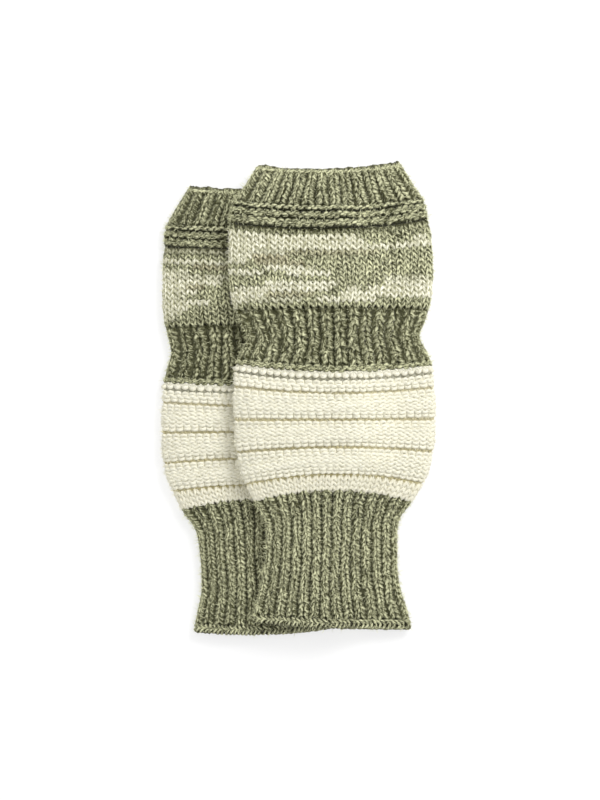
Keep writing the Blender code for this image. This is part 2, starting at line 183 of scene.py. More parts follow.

# A stretch of like courses, from its first to its last. step is the height of one,
# sink is how far they lie under the outline, swell is their yarn's thickness against
# the common one, crown is how far their middle stands up, and rough is how uneven
# they are.
Courses = namedtuple(
    "Courses", "first last count kind step sink swell crown rough", defaults=(0.0, 1.0)
)
Band = namedtuple("Band", "start end slot courses")
BANDS = {
    "finger_rib": Band(0.0, 21.7, "olive_yarn", (
        Courses(1.8, 17.4, 8, "rib", 2.25, 0.3, 1.25, 0.0, 1.6),
        Courses(20.1, 20.1, 1, "welt", 0.9, 0.3, 1.05, 0.0, 2.0),
    )),
    "finger_welts": Band(21.7, 30.7, "olive_yarn", (
        Courses(21.7, 21.7, 1, "knit", 0.8, 3.0, 0.8),
        Courses(23.2, 24.4, 2, "welt", 1.1, 0.7, 1.05, 0.0, 3.0),
        Courses(25.9, 25.9, 1, "knit", 0.8, 2.9, 0.8),
        Courses(27.4, 28.7, 2, "welt", 1.2, 0.7, 1.08, 0.0, 3.0),
    )),
    "marled_hand": Band(30.7, 72.4, "marled_yarn", (
        Courses(30.7, 30.7, 1, "knit", 0.8, 3.0, 0.8),
        Courses(33.4, 33.4, 1, "knit", 2.3, 0.8, 0.98, 0.0, 1.5),
        Courses(36.1, 71.8, 14, "knit", 2.74, 0.25, 1.0, 0.3, 1.5),
    )),
    "wrist_rib": Band(72.4, 106.8, "olive_yarn", (
        Courses(74.1, 74.1, 1, "rib", 2.2, 1.6, 1.25, 0.0, 2.0),
        Courses(76.8, 102.2, 10, "rib", 2.82, 0.7, 1.38, 0.0, 2.6),
        Courses(104.9, 105.9, 2, "welt", 1.2, 0.5, 1.05, 0.0, 2.6),
    )),
    "cream_arm": Band(106.8, 169.8, "cream_yarn", (
        Courses(108.7, 108.7, 1, "bead", 2.4, -0.3, 1.2, 0.0, 2.0),
        Courses(111.2, 111.2, 1, "knit", 1.2, 1.5, 0.9),
        Courses(113.8, 115.7, 2, "purl", 1.85, 0.3, 1.0, 0.2, 1.0),
        Courses(118.4, 118.4, 1, "knit", 1.4, 1.2, 0.85),
        Courses(121.0, 129.9, 6, "purl", 1.78, 0.45, 1.0, 0.45, 1.0),
        Courses(132.6, 132.6, 1, "knit", 1.4, 1.2, 0.85),
        Courses(135.2, 144.5, 6, "purl", 1.86, 0.45, 1.0, 0.45, 1.0),
        Courses(147.2, 147.2, 1, "knit", 1.4, 1.2, 0.85),
        Courses(149.8, 159.1, 6, "purl", 1.86, 0.45, 1.0, 0.45, 1.0),
        Courses(161.7, 161.7, 1, "knit", 1.4, 1.1, 0.85),
        Courses(163.9, 168.9, 3, "knit", 2.5, 0.3, 0.94, 0.0, 1.2),
    )),
    "cuff_rib": Band(169.8, 238.4, "olive_yarn", (
        Courses(171.2, 236.9, 27, "rib", 2.53, 0.1, 1.14, 0.0, 1.7),
    )),
}

# Where the yarn's dye changes, course by course: from which stitch to which, counted
# from the left side fold, in which shade and how strongly. The shade is the first or
# second dye of the band, or olive.
FIRST, SECOND, OLIVE = range(3)
UPPER_HAND_DYE = {
    0: ((-4, 32, OLIVE, 1.0),),
    1: ((-4, 32, OLIVE, 0.6),),
    2: ((-4, 18.2, FIRST, 1.0), (18.2, 32, OLIVE, 0.3)),
    3: ((-4, 19.2, FIRST, 1.0), (25.4, 27.6, FIRST, 0.8)),
    4: ((-4, 19.7, FIRST, 0.9), (19.7, 29.0, FIRST, 0.9)),
    5: ((-4, 4.5, FIRST, 1.0), (4.5, 8.6, FIRST, 0.6), (8.6, 21.0, SECOND, 0.3)),
    6: ((-4, 4.1, FIRST, 1.0), (4.1, 8.8, SECOND, 0.6)),
    7: ((-4, 3.6, FIRST, 0.9), (4.4, 11.0, SECOND, 0.5)),
    8: ((5.8, 12.2, FIRST, 1.0),),
    9: ((0.4, 5.2, FIRST, 1.0), (8.7, 14.6, FIRST, 1.0)),
    10: ((12.0, 20.0, OLIVE, 0.3), (21.4, 27.4, FIRST, 0.5)),
    11: ((-4, 4.6, OLIVE, 0.3), (5.6, 15.2, FIRST, 1.0), (21.6, 32, FIRST, 1.0)),
    12: (
        (1.4, 4.8, FIRST, 0.9), (4.8, 14.2, FIRST, 1.0),
        (16.4, 18.2, FIRST, 1.0), (19.6, 32, FIRST, 1.0),
    ),
    13: ((-1, 6.0, FIRST, 1.0), (6.0, 12.2, SECOND, 0.4), (15.6, 32, FIRST, 1.0)),
    14: ((-2, 3.0, FIRST, 1.0), (3.0, 10.4, FIRST, 0.5), (12.4, 20.6, FIRST, 1.0)),
    15: ((-4, 1.4, FIRST, 0.8), (3.0, 32, OLIVE, 0.8)),
}
LOWER_HAND_DYE = {
    0: ((-4, 32, OLIVE, 1.0),),
    1: ((-4, 17, FIRST, 0.4),),
    3: ((-1, 17, FIRST, 1.0),),
    4: ((5.0, 17, SECOND, 0.5),),
    5: ((-4, 4.6, FIRST, 0.6),),
    6: ((-4, 3.0, FIRST, 1.0), (3.0, 17, FIRST, 0.6)),
    7: ((-4, 8.8, FIRST, 1.0),),
    8: ((-4, 4.2, FIRST, 1.0), (4.2, 6.4, SECOND, 0.5)),
    9: ((-4, 5.4, FIRST, 1.0), (8.4, 17, OLIVE, 0.4)),
    10: ((-4, 3.8, FIRST, 0.8),),
    11: ((-4, 7.4, FIRST, 1.0), (7.4, 17, OLIVE, 0.4)),
    12: ((-4, 4.4, FIRST, 1.0),),
    13: ((-4, 3.4, FIRST, 0.9), (7.0, 17, OLIVE, 0.4)),
    14: ((-4, 2.6, FIRST, 0.7), (5.0, 17, OLIVE, 0.5)),
    15: ((-4, 17, OLIVE, 0.7),),
}
# The courses where the cream arm's yarn changes: olive on both sides of the first
# row of bumps, and in the grooves tan, partly the yarn's colour and partly painted shade.
ARM_DYE = {
    course: ((-5, 57, shade, level),)
    for course, shade, level in (
        (1, OLIVE, 0.55),
        (4, SECOND, 0.7),
        (11, SECOND, 0.8),
        (18, SECOND, 0.8),
        (25, SECOND, 0.9),
        (26, SECOND, 0.15),
        (27, SECOND, 0.1),
        (28, SECOND, 0.1),
    )
}
BAND_DYES = {
    "olive": ("ecru", "beige", "olive"),
    "sage": ("ecru", "beige", "olive"),
    "cream": ("ecru", "tan", "olive"),
}
DYE_FADE = 0.35  # stitches over which one dye runs into the next

# How uneven a loop is: its place along the course in stitches, its place up it and in
# depth in millimetres, and its height and thickness as shares of their own.
LOOP_WANDER = {"along": 0.035, "up": 0.10, "deep": 0.08, "tall": 0.05, "yarn": 0.035}
LOOP_LEAN = 0.02  # stitches that a loop leans to one side
TUCK_CURVE = 1.4
TROUGH_CURVE = 5
TROUGH_FADE = 1.6  # how soon a rib's troughs fade where it turns to a side
FOLD_START = 2.2  # stitches past a side fold where the loops start to sink
FOLD_SINK = 2.0
SIDE_REACH, TOP_REACH = 2.0, 3.0  # how deep wool may lie at a side, and more on the top
FLOOR_GAP = 0.02  # between the wool and the table

# The ropes wound round a glove's ends: their run, their radius, the stitches to a turn,
# and whether they wind to the right (1) or to the left (-1).
Rope = namedtuple("Rope", "run radius pitch hand")
CAST_ON = (Rope(1.3, 0.35, 2.0, 1),)
BIND_OFF = (Rope(239.4, 1.0, 1.6, -1), Rope(241.5, 1.15, 1.6, 1))
ROPE_STRANDS = 2
ROPE_YARN = 0.8  # half a strand's thickness
# How uneven a strand is: turn in radians, run in millimetres, the others as shares.
ROPE_WANDER = {"turn": 0.25, "run": 0.12, "radius": 0.08, "yarn": 0.06}
EDGE_START, EDGE_END = 238.4, 243.0
EDGE_CLOTH_END = 241.2

FIBRE_WIDTHS = (0.13, 0.11, 0.03)  # half a loose fibre's width, root to tip
FIBRE_ROOT = 0.85  # where in the yarn it starts, as a share of its radius
FIBRE_FAN = 1.4  # radians that it may lean to each side
FIBRE_CURLS = (0.4, 0.5)  # how far its first and its second half stray
FIBRE_SHORTEST, FIBRE_SPREAD, FIBRE_LONGEST = 1.0, 0.9, 4.0
FIBRE_SHADE = 0.1
LYING_SHARE = 0.6  # share of the loose fibres that lie along the yarn
LYING_RISE = 0.35  # how far those rise from it
EDGE_FUZZ = 9.0  # how many times more fibres stand off where the glove turns under

CLOTH_SHADE = 0.9  # how shaded the cloth is between its loops, from 0 to 1
INSIDE_SHADE = 0.35
CLOTH_STEP = 0.5  # stitches between the cloth's points
CLOTH_ROW = 1.6  # millimetres between the rings of its outside
INSIDE_SHARE = 3  # rings outside for one ring inside
FEWEST_RINGS = 3
CLOTH_DEPTH, ARM_CLOTH_DEPTH = 2.1, 1.5  # how far it lies under the outline
CLOTH_SINK, CLOTH_DIP = 0.6, 0.5  # shares of the loops' sink and troughs that it follows
CLOTH_RISE = 1.4  # stitches past a side fold where it starts to rise, and that it takes
CLOTH_REACH = 0.93  # share of the wall that its outside may sink
CLOTH_DYED = 30  # stitches from the left fold that are dyed on it
COURSE_HEIGHT = 2.5  # millimetres of cloth to one course of its relief

YARN_MAP = 10.0  # millimetres of yarn to one unit of its map
# Where a piece lies on its map for baking: each strand has a strip with a gap beside
# it, and the fibres share one small spot over the strips.
STRIPS_END = 0.99
STRIP_GAP, STRIP_WIDTH = 0.04, 0.92
FIBRE_SPOT, FIBRE_SPOT_SIZE = (0.5, 0.995), 0.001

SAMPLES = 10  # points of yarn in one stitch
SIDES = 6
SKIN_STEP = 1.0  # millimetres of run between the rings of the outline's map
MARK_STEP = 0.25  # stitches between its marks


# The outline, read as a smooth map


def smooth_step(t):
    t = np.clip(t, 0.0, 1.0)
    return t * t * (3.0 - 2.0 * t)


def smooth_column(xs, ys, x):
    """A smooth curve through the points (xs, ys), read at x."""
    xs, ys = np.asarray(xs, float), np.asarray(ys, float)
    slopes = np.gradient(ys, xs)
    x = np.clip(x, xs[0], xs[-1])
    i = np.clip(np.searchsorted(xs, x, side="right") - 1, 0, len(xs) - 2)
    step = xs[i + 1] - xs[i]
    t = (x - xs[i]) / step
    before, after = slopes[i] * step, slopes[i + 1] * step
    return (
        ys[i] * (2 * t**3 - 3 * t**2 + 1)
        + before * (t**3 - 2 * t**2 + t)
        + ys[i + 1] * (3 * t**2 - 2 * t**3)
        + after * (t**3 - t**2)
    )


def half_outline(half_width, loft, is_front):
    """Points of one half of a flattened section, as x and z.

    The front runs from the left fold over the top to the right fold. The back runs
    on from there along the flat underside to the left fold.
    """
    low, high = loft * LOW_SHARE, loft * (1.0 - LOW_SHARE)
    if is_front:
        turn = np.linspace(math.pi, 0.0, OUTLINE_SAMPLES)
        across, up = np.cos(turn), np.sin(turn)
        x = half_width * np.sign(across) * np.abs(across) ** (2.0 / CROWN)
        z = low + high * np.abs(up) ** (2.0 / CROWN)
    else:
        turn = np.linspace(0.0, math.pi / 2, CORNER_SAMPLES)
        right_x = half_width - low + low * np.cos(turn)
        right_z = low - low * np.sin(turn)
        flat_x = np.linspace(right_x[-1], -right_x[-1], OUTLINE_SAMPLES)[1:-1]
        x = np.concatenate([right_x, flat_x, -right_x[::-1]])
        z = np.concatenate([right_z, np.zeros(len(flat_x)), right_z[::-1]])
    return np.stack([x, z], axis=1)


def at_shares(points, shares):
    """The points of an outline at shares of its length."""
    steps = np.linalg.norm(np.diff(points, axis=0), axis=1)
    along = np.concatenate([[0.0], np.cumsum(steps)])
    want = shares * along[-1]
    return np.stack([np.interp(want, along, points[:, k]) for k in (0, 1)], axis=1)


def unit(vectors):
    return vectors / np.maximum(np.linalg.norm(vectors, axis=-1, keepdims=True), 1e-9)


class Glove:
    """A glove's outside and inside, read by run and by stitch."""

    def __init__(self, name, sections, finger_edge, stretch, hand_dye, shade=0.0, under=None):
        """shade is painted shade added to its wool; under is the glove that it lies on."""
        self.name = name
        self.shade = shade
        self.finger_edge = finger_edge
        self.stretch = stretch
        self.hand_dye = hand_dye
        self.under = under
        self.columns = dict(zip(SECTION_FIELDS, zip(*sections)))
        self.runs = np.arange(-RUN_BEFORE, SECTION_RUNS[-1] + RUN_PAST, SKIN_STEP)
        self.outside = np.array([self.ring(run, False) for run in self.runs])
        self.inside = np.array([self.ring(run, True) for run in self.runs])
        across = np.roll(self.outside, -1, axis=1) - np.roll(self.outside, 1, axis=1)
        along = np.gradient(self.outside, axis=0)
        self.facings = unit(np.cross(along, across))
        chance = np.random.default_rng(ord(name[0]))
        self.waves = [
            (
                1 / chance.uniform(*DRIFT_LENGTHS),
                chance.integers(*DRIFT_TURNS) / STITCHES_ROUND,
                turn,
            )
            for turn in chance.uniform(0.0, 2 * math.pi, DRIFT_WAVES)
        ]

    def drift(self, run, stitch):
        """Slow unevenness of the hand-knitted cloth, from about -1 to 1."""
        waves = [
            np.sin(2 * math.pi * (run * along + stitch * across) + turn)
            for along, across, turn in self.waves
        ]
        return np.sum(waves, axis=0) / math.sqrt(DRIFT_WAVES)

    def read(self, field, run):
        """A measure of the glove's sections, at a run."""
        return smooth_column(SECTION_RUNS, self.columns[field], run)

    def centre_y(self, run):
        return self.finger_edge[1] - run * self.stretch - self.read("drop", run)

    def floor_under(self, x, y):
        """Height of what the glove rests on: the other glove, or the floor."""
        if self.under is None:
            return np.zeros_like(x)
        below = self.under
        run = (below.finger_edge[1] - y) / below.stretch
        run = run - below.read("drop", run) / below.stretch
        top = below.read("loft", run) + CLEARANCE
        side = below.finger_edge[0] + below.read("shift", run) + below.read("half_width", run)
        droop = smooth_step((x - side + DROOP_START) / (DROOP_START + DROOP_END))
        sag = SAG_SHARE * smooth_step((y - below.centre_y(0.0)) / SAG_LENGTH)
        return top * (1.0 - droop) * (1.0 - sag)

    def ring(self, run, is_inside):
        """Points round the glove at a run, from the left side fold over the front."""
        full_width, loft = self.read("half_width", run), self.read("loft", run)
        wall = min(WALL, (loft - SLIT) / 2) if is_inside else 0.0
        shares = np.arange(0.0, STITCHES_ACROSS, MARK_STEP) / STITCHES_ACROSS
        size = full_width - wall, loft - 2 * wall
        front = at_shares(half_outline(*size, True), shares)
        back = at_shares(half_outline(*size, False), shares)
        section = np.concatenate([front, back])
        share = section[:, 0] / full_width
        x = self.finger_edge[0] + self.read("shift", run) + section[:, 0]
        bow, lean = self.read("bow", run), self.read("lean", run)
        y = self.centre_y(run) + bow * share**2 + lean * share
        z = section[:, 1] + wall + self.floor_under(x, y)
        return np.stack([x, y, z], axis=1)

    def at(self, run, stitch):
        """Places outside and inside, and facings, at runs and stitches."""
        drift = self.drift(run, stitch)
        stitch = stitch + DRIFT_ALONG * drift
        # Just short of the last ring, which is only read as the second of two.
        i = np.clip((run - self.runs[0]) / SKIN_STEP, 0, len(self.runs) - 1.001)
        j = np.mod(stitch, STITCHES_ROUND) / MARK_STEP
        marks = self.outside.shape[1]
        i0, j0 = i.astype(int), j.astype(int) % marks
        j1 = (j0 + 1) % marks
        s, t = (i - i0)[..., None], (j - np.floor(j))[..., None]

        def read(table):
            first = table[i0, j0] * (1 - t) + table[i0, j1] * t
            second = table[i0 + 1, j0] * (1 - t) + table[i0 + 1, j1] * t
            return first * (1 - s) + second * s

        facings = unit(read(self.facings))
        lift = DRIFT_UP * self.drift(stitch, run) * np.clip(facings[..., 2], 0.0, 1.0)
        lift = facings * lift[..., None]
        return read(self.outside) + lift, read(self.inside) + lift, facings

    def girth(self, run):
        """How far it is round the glove."""
        ring = self.ring(run, False)
        return float(np.linalg.norm(ring - np.roll(ring, 1, axis=0), axis=1).sum())


LOWER = Glove(
    "lower", LOWER_SECTIONS, LOWER_FINGER_EDGE, LOWER_STRETCH, LOWER_HAND_DYE, LOWER_SHADE
)
UPPER = Glove(
    "upper", UPPER_SECTIONS, UPPER_FINGER_EDGE, UPPER_STRETCH, UPPER_HAND_DYE, under=LOWER
)


# Yarn and cloth, as meshes


def courses_of(band):
    """Each course of a band on its own, as (run, its stretch, its own sink)."""
    courses = []
    for stretch in BANDS[band].courses:
        for run in np.linspace(stretch.first, stretch.last, stretch.count):
            middle = (stretch.first + stretch.last) / 2
            half = max(stretch.last - middle, 1.0)
            crown = stretch.crown * (1.0 - ((run - middle) / half) ** 2)
            courses.append((run, stretch, stretch.sink - crown))
    return courses


def dye_of(glove, band):
    if band == "marled_hand":
        return glove.hand_dye
    return ARM_DYE if band == "cream_arm" else {}


def dye_at(glove, band, course, stitch):
    """How strong each shade is, at stitches of a course."""
    levels = np.zeros((*np.shape(stitch), 3))
    for start, end, shade, level in dye_of(glove, band).get(course, ()):
        rise = smooth_step((stitch - start) / DYE_FADE + 0.5)
        fall = smooth_step((end - stitch) / DYE_FADE + 0.5)
        levels[..., shade] = np.maximum(levels[..., shade], level * rise * fall)
    return levels


def trough(stitch):
    """1 in the middle of a purl column of rib and 0 on the knit one."""
    return (0.5 + 0.5 * np.cos(math.pi * stitch)) ** TROUGH_CURVE


# A length of yarn: centre line, facings, thickness, dyes, and depths for painted shade.
Strand = namedtuple("Strand", "places facings radii dye depths")


def knit_course(glove, band, number, first, last, settings):
    """One course of loops, from stitch first to stitch last."""
    run, stretch, sink = courses_of(band)[number]
    kind = KINDS[stretch.kind]
    seed = (len(glove.name), list(BANDS).index(band), number, ord(glove.name[0]))
    chance = np.random.default_rng(seed)
    count = int(round((last - first) * SAMPLES))
    turns = first + kind.start + np.arange(count + 1) / SAMPLES
    phase = 2 * math.pi * (turns - kind.start + 0.5)
    knots = np.arange(math.floor(first) - 1, math.ceil(last) + 3)
    halves = np.arange(knots[0], knots[-1], 0.5)
    uneven = settings.unevenness * stretch.rough

    def wander(what, points=knots):
        size = LOOP_WANDER[what] * uneven
        return np.interp(turns, points, chance.normal(0.0, size, len(points)))

    # The loop's path over the cloth, along the course and up it.
    wale = turns + kind.bulge * np.sin(2 * phase) - kind.spread * np.sin(phase)
    wale = wale + LOOP_LEAN * np.cos(phase) + wander("along")
    face = float(kind.face)
    if kind.face == 0:
        face = -np.cos(math.pi * turns)
        wale = wale - kind.gather / math.pi * np.sin(math.pi * wale)
    height = kind.tall * stretch.step / 2
    along = run - height * np.cos(phase) * (1 + wander("tall", halves)) + wander("up")
    radii = settings.yarn_radius * stretch.swell * (1 + wander("yarn", halves))
    if kind.face == 0:
        radii = radii * (1 + RIB_CONTRAST * face)
    # Its path through the cloth, as the depth under the outline.
    sink = sink + settings.loop_depth * kind.swing * (1 + np.cos(2 * phase) * face)
    sink = sink + settings.yarn_radius - kind.slope * np.cos(phase)
    tuck = kind.tuck * (0.5 + 0.5 * np.cos(phase)) ** TUCK_CURVE
    sink = sink + tuck + wander("deep", halves)
    if last - first < STITCHES_ROUND - 1:
        left, right = -FOLD_START - turns, turns - STITCHES_ACROSS - FOLD_START
        sink = sink + FOLD_SINK * smooth_step(np.maximum(left, right))
    places, _, facings = glove.at(along, wale)
    level = np.clip(facings[:, 2], 0.0, 1.0)
    sink = sink + kind.trough * trough(wale) * np.minimum(TROUGH_FADE * level, 1.0)
    sink = np.minimum(sink, SIDE_REACH + TOP_REACH * level)
    places = places - facings * sink[:, None]
    places[:, 2] = np.maximum(places[:, 2], radii + FLOOR_GAP)
    dye = dye_at(glove, band, number, turns + 0.5)
    # The depths set the painted shade, with more of it on the lower glove.
    return Strand(places, facings, radii, dye, sink + glove.shade)


def wound_strand(glove, rope, strand):
    """One of the strands that wind round an edge as a rope."""
    turns_round = round(STITCHES_ROUND / rope.pitch)
    around = np.linspace(0.0, STITCHES_ROUND, turns_round * SAMPLES + 1)
    chance = np.random.default_rng((len(glove.name), strand, rope.hand + 1))
    marks = np.linspace(0.0, STITCHES_ROUND, turns_round + 1)

    def wander(what):
        return np.interp(around, marks, chance.normal(0.0, ROPE_WANDER[what], len(marks)))

    turned = around / STITCHES_ROUND * turns_round + strand / ROPE_STRANDS
    angle = -2 * math.pi * rope.hand * turned + wander("turn")
    runs = np.full(len(around), float(rope.run)) + wander("run")
    outside, inside, facings = glove.at(runs, around)
    ahead, _, _ = glove.at(runs + 1.0, around)
    centre = (outside + inside) / 2
    forward = unit(ahead - outside)
    up = unit(outside - inside)
    reach = rope.radius * (1.0 + wander("radius"))[:, None]
    places = centre + reach * (
        np.cos(angle)[:, None] * up + np.sin(angle)[:, None] * forward
    )
    places[:, 2] = np.maximum(places[:, 2], ROPE_YARN + FLOOR_GAP)
    radii = ROPE_YARN * (1 + wander("yarn"))
    depths = rope.radius * (1 - np.cos(angle)) + ROPE_YARN
    return Strand(places, facings, radii, np.zeros((len(around), 3)), depths)


def wound_edge(glove, ropes):
    """All strands of an edge's ropes."""
    return [
        wound_strand(glove, rope, strand) for rope in ropes for strand in range(ROPE_STRANDS)
    ]


class MeshParts:
    """Points, quads, dyes, painted shades and maps of corners, gathered part by part."""

    def __init__(self):
        self.tables, self.maps, self.total = ([], [], [], []), {}, 0

    def add(self, points, quads, dyes, painted_shades, **maps):
        for table, part in zip(self.tables, (points, quads + self.total, dyes, painted_shades)):
            table.append(part)
        for name, corners in maps.items():
            self.maps.setdefault(name, []).append(corners)
        self.total += len(points)

    def piece(self, name, material):
        """All the parts as one object."""
        points, quads, dyes, painted_shades = (np.concatenate(table) for table in self.tables)
        mesh = bpy.data.meshes.new(name)
        mesh.vertices.add(len(points))
        mesh.vertices.foreach_set("co", (points * MM).astype(np.float32).ravel())
        mesh.loops.add(quads.size)
        mesh.loops.foreach_set("vertex_index", quads.astype(np.int32).ravel())
        mesh.polygons.add(len(quads))
        starts = np.arange(0, quads.size, 4, dtype=np.int32)
        mesh.polygons.foreach_set("loop_start", starts)
        mesh.update(calc_edges=True)
        for map_name, parts in self.maps.items():
            layer = mesh.uv_layers.new(name=map_name)
            corners = np.concatenate(parts).astype(np.float32)
            layer.uv.foreach_set("vector", corners.ravel())
        dye = mesh.attributes.new("dye", "FLOAT_VECTOR", "POINT")
        dye.data.foreach_set("vector", dyes.astype(np.float32).ravel())
        # Each point's painted shade, from 0 for none to 1 for the darkest.
        hollow = mesh.attributes.new("hollow", "FLOAT", "POINT")
        hollow.data.foreach_set("value", np.clip(painted_shades, 0, 1).astype(np.float32))
        mesh.shade_smooth()
        mesh.materials.append(material)
        piece = bpy.data.objects.new(name, mesh)
        bpy.context.scene.collection.objects.link(piece)
        return piece


CORNERS = np.array([[0, 0], [1, 0], [1, 1], [0, 1]])


def add_strand(parts, strand, low, high):
    """A strand as a closed tube, laid between two heights of its map for baking."""
    around = np.arange(SIDES) * 2 * math.pi / SIDES
    tangent = unit(np.gradient(strand.places, axis=0))
    side = unit(np.cross(tangent, strand.facings))
    up = np.cross(side, tangent)
    ring = np.cos(around)[:, None, None] * up + np.sin(around)[:, None, None] * side
    ring = (ring * strand.radii[:, None]).transpose(1, 0, 2)
    # Painted shade: the deeper a point of the tube lies under the outline, the darker.
    rise = np.einsum("ijk,ik->ij", ring, strand.facings)
    painted_shades = ((strand.depths[:, None] - rise) / HOLLOW_DEPTH).ravel()
    points = (strand.places[:, None, :] + ring).reshape(-1, 3)
    count = len(strand.places)
    i, k = np.meshgrid(np.arange(count - 1), np.arange(SIDES), indexing="ij")
    rows, turns = (n.ravel()[:, None] + CORNERS[:, c] for c, n in enumerate((i, k)))
    steps = np.linalg.norm(np.diff(strand.places, axis=0), axis=1)
    length = np.concatenate([[0.0], np.cumsum(steps)])
    yarn = np.stack([length[rows] / YARN_MAP, turns / SIDES], axis=2)
    height = low + (high - low) * (STRIP_GAP + STRIP_WIDTH * turns / SIDES)
    bake = np.stack([rows / (count - 1), height], axis=2)
    quads = rows * SIDES + turns % SIDES
    # Two quads close each end, as a tube has six sides.
    caps = np.array([[3, 2, 1, 0], [5, 4, 3, 0]])
    caps = np.concatenate([caps, (count - 1) * SIDES + caps[:, ::-1]])
    ends = np.array([0, 0, count - 1, count - 1])
    yarn_ends = np.stack([length[ends] / YARN_MAP, np.full(4, 0.5)], axis=1)
    bake_ends = np.stack([ends / (count - 1), np.full(4, (low + high) / 2)], axis=1)
    parts.add(
        points,
        np.concatenate([quads, caps]),
        np.repeat(strand.dye, SIDES, axis=0),
        painted_shades,
        OFBake=np.concatenate([bake, np.repeat(bake_ends[:, None], 4, axis=1)]),
        yarn=np.concatenate([yarn, np.repeat(yarn_ends[:, None], 4, axis=1)]),
    )


def add_fibres(parts, strand, seed, settings):
    """Loose fibres that stand off a strand, as slivers that narrow to a tip."""
    chance = np.random.default_rng(seed)
    edge = np.clip(1.0 - np.abs(strand.facings[:, 2]), 0.0, 1.0)
    odds = settings.fuzz / SAMPLES * (1.0 + EDGE_FUZZ * edge)
    roots = np.flatnonzero(chance.random(len(strand.places)) < odds)
    count = len(roots)
    if not count:
        return
    tangent = unit(np.gradient(strand.places, axis=0))[roots]
    facing = strand.facings[roots]
    side = unit(np.cross(tangent, facing))
    lean = chance.uniform(-FIBRE_FAN, FIBRE_FAN, (count, 1))
    out = np.cos(lean) * facing + np.sin(lean) * side
    stands = chance.random((count, 1)) > LYING_SHARE * (1.0 - edge[roots][:, None])
    lying = LYING_RISE * out + tangent * chance.choice((-1, 1), (count, 1))
    first = np.where(stands, out, lying)
    first = unit(first + chance.normal(0.0, FIBRE_CURLS[0], (count, 3)))
    second = unit(first + chance.normal(0.0, FIBRE_CURLS[1], (count, 3)))
    length = chance.exponential(FIBRE_SPREAD, (count, 1)) + FIBRE_SHORTEST
    length = np.minimum(length, FIBRE_LONGEST)
    root = strand.places[roots] + out * strand.radii[roots][:, None] * FIBRE_ROOT
    middle = root + first * length / 2
    tip = middle + second * length / 2
    wide = unit(np.cross(first, chance.normal(0.0, 1.0, (count, 3))))
    strip = [
        point + wide * width * way
        for point, width in zip((root, middle, tip), FIBRE_WIDTHS)
        for way in (-1, 1)
    ]
    points = np.stack(strip, axis=1).reshape(-1, 3)
    points[:, 2] = np.maximum(points[:, 2], FLOOR_GAP)
    quads = np.array([[0, 1, 3, 2], [2, 3, 5, 4]])
    quads = (np.arange(count)[:, None, None] * len(strip) + quads).reshape(-1, 4)
    # A quarter turn of the twist along, where a ply of the yarn is at its lightest, clear
    # of the painted shade between the plies.
    lightest = np.array([settings.twist / (4 * YARN_MAP), 0.0])
    spot = FIBRE_SPOT + CORNERS * FIBRE_SPOT_SIZE
    parts.add(
        points,
        quads,
        np.repeat(strand.dye[roots], len(strip), axis=0),
        np.full(len(points), FIBRE_SHADE),
        OFBake=np.broadcast_to(spot, (len(quads), 4, 2)),
        yarn=np.broadcast_to(lightest, (len(quads), 4, 2)),
    )


def yarn_piece(name, strands, material, settings):
    """All strands of a piece, with the fibres that stand off them."""
    parts = MeshParts()
    share = STRIPS_END / len(strands)
    for number, strand in enumerate(strands):
        add_strand(parts, strand, number * share, (number + 1) * share)
    for number, strand in enumerate(strands):
        add_fibres(parts, strand, (len(name), number), settings)
    return parts.piece(name, material)


